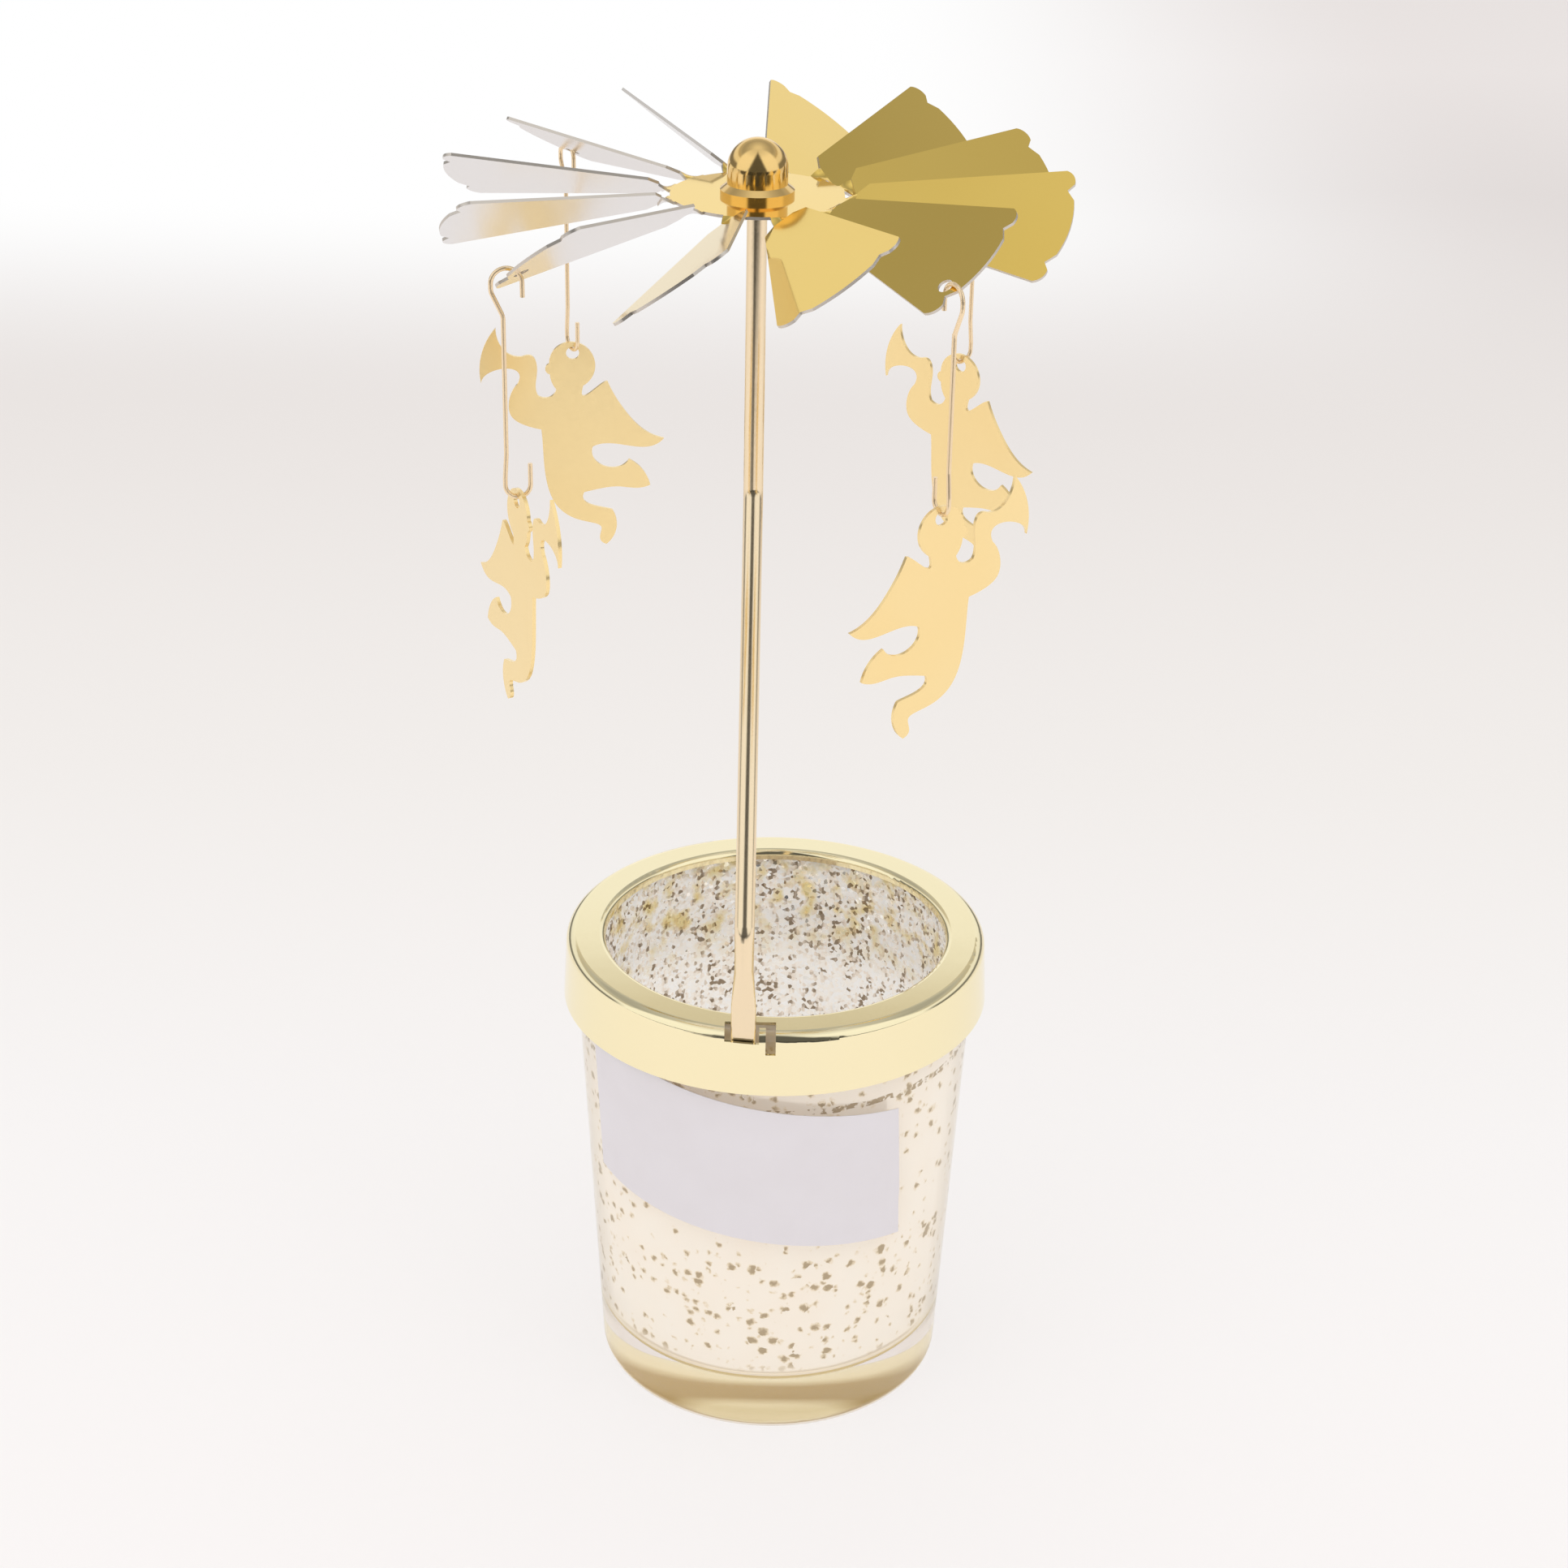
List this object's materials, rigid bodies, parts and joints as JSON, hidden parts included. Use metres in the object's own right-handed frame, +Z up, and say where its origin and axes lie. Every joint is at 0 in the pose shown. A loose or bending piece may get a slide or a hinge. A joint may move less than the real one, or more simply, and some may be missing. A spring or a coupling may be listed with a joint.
{
  "type": "tealight carousel",
  "caption": "Tealight carousel: a tapered glass candle cup whose metal collar carries a bent wire stem and a turning bladed fan, with flat winged figures hanging from it on wire hooks.",
  "frame": {"origin": "centre of the glass cup's flat foot, on the table", "axes": "+Z up along the cup's axis; the stem's foot is at the front, towards -Y, and the fan's axis stands 4.15 mm to the -X side of the cup's"},
  "size_m": [0.0823, 0.0824, 0.1878],
  "materials": {
    "glass": "gloss",
    "collar": "polished",
    "wire": "polished",
    "sheet": "satin"
  },
  "bodies": {
    "cup": {"glass_cup": "glass"},
    "collar": {"collar_ring": "collar", "stem": "wire"},
    "fan": {"fan_rotor": "sheet", "dome_cap": "collar"},
    "hook_rear_right": {"hook_rear_right": "wire"},
    "angel_rear_right": {"angel_rear_right": "sheet"},
    "hook_rear_left": {"hook_rear_left": "wire"},
    "angel_rear_left": {"angel_rear_left": "sheet"},
    "hook_front_left": {"hook_front_left": "wire"},
    "angel_front_left": {"angel_front_left": "sheet"},
    "hook_front_right": {"hook_front_right": "wire"},
    "angel_front_right": {"angel_front_right": "sheet"}
  },
  "joints": [
    {"name": "collar_lift", "type": "slide", "parent": "cup", "child": "collar", "axis": [0, 0, 1], "range_m": [0, 0.014]},
    {"name": "fan_spin", "type": "hinge", "parent": "collar", "child": "fan", "pos_m": [-0.00415, 0, 0.18045], "axis": [0, 0, 1], "continuous": true},
    {"name": "hook_rear_right_swing", "type": "hinge", "parent": "fan", "child": "hook_rear_right", "pos_m": [0.02508, 0.0277, 0.17849], "axis": [0.5943, -0.8043, 0], "range_deg": [-5, 20]},
    {"name": "angel_rear_right_swing", "type": "hinge", "parent": "hook_rear_right", "child": "angel_rear_right", "pos_m": [0.02508, 0.0277, 0.14923], "axis": [-0.6231, -0.7822, 0], "range_deg": [-20, 20]},
    {"name": "hook_rear_left_swing", "type": "hinge", "parent": "fan", "child": "hook_rear_left", "pos_m": [-0.03086, 0.03008, 0.17848], "axis": [0.8484, 0.5293, 0], "range_deg": [-5, 20]},
    {"name": "angel_rear_left_swing", "type": "hinge", "parent": "hook_rear_left", "child": "angel_rear_left", "pos_m": [-0.03086, 0.03008, 0.14921], "axis": [0.1038, -0.9946, 0], "range_deg": [-20, 20]},
    {"name": "hook_front_left_swing", "type": "hinge", "parent": "fan", "child": "hook_front_left", "pos_m": [-0.03371, -0.02686, 0.17705], "axis": [-0.1815, 0.9834, 0], "range_deg": [-5, 20]},
    {"name": "angel_front_left_swing", "type": "hinge", "parent": "hook_front_left", "child": "angel_front_left", "pos_m": [-0.03371, -0.02686, 0.14783], "axis": [0.8873, 0.4611, 0], "range_deg": [-20, 20]},
    {"name": "hook_front_right_swing", "type": "hinge", "parent": "fan", "child": "hook_front_right", "pos_m": [0.01987, -0.03201, 0.17777], "axis": [-0.8484, -0.5293, 0], "range_deg": [-5, 20]},
    {"name": "angel_front_right_swing", "type": "hinge", "parent": "hook_front_right", "child": "angel_front_right", "pos_m": [0.01987, -0.03201, 0.1485], "axis": [-0.5144, 0.8575, 0], "range_deg": [-20, 20]}
  ]
}
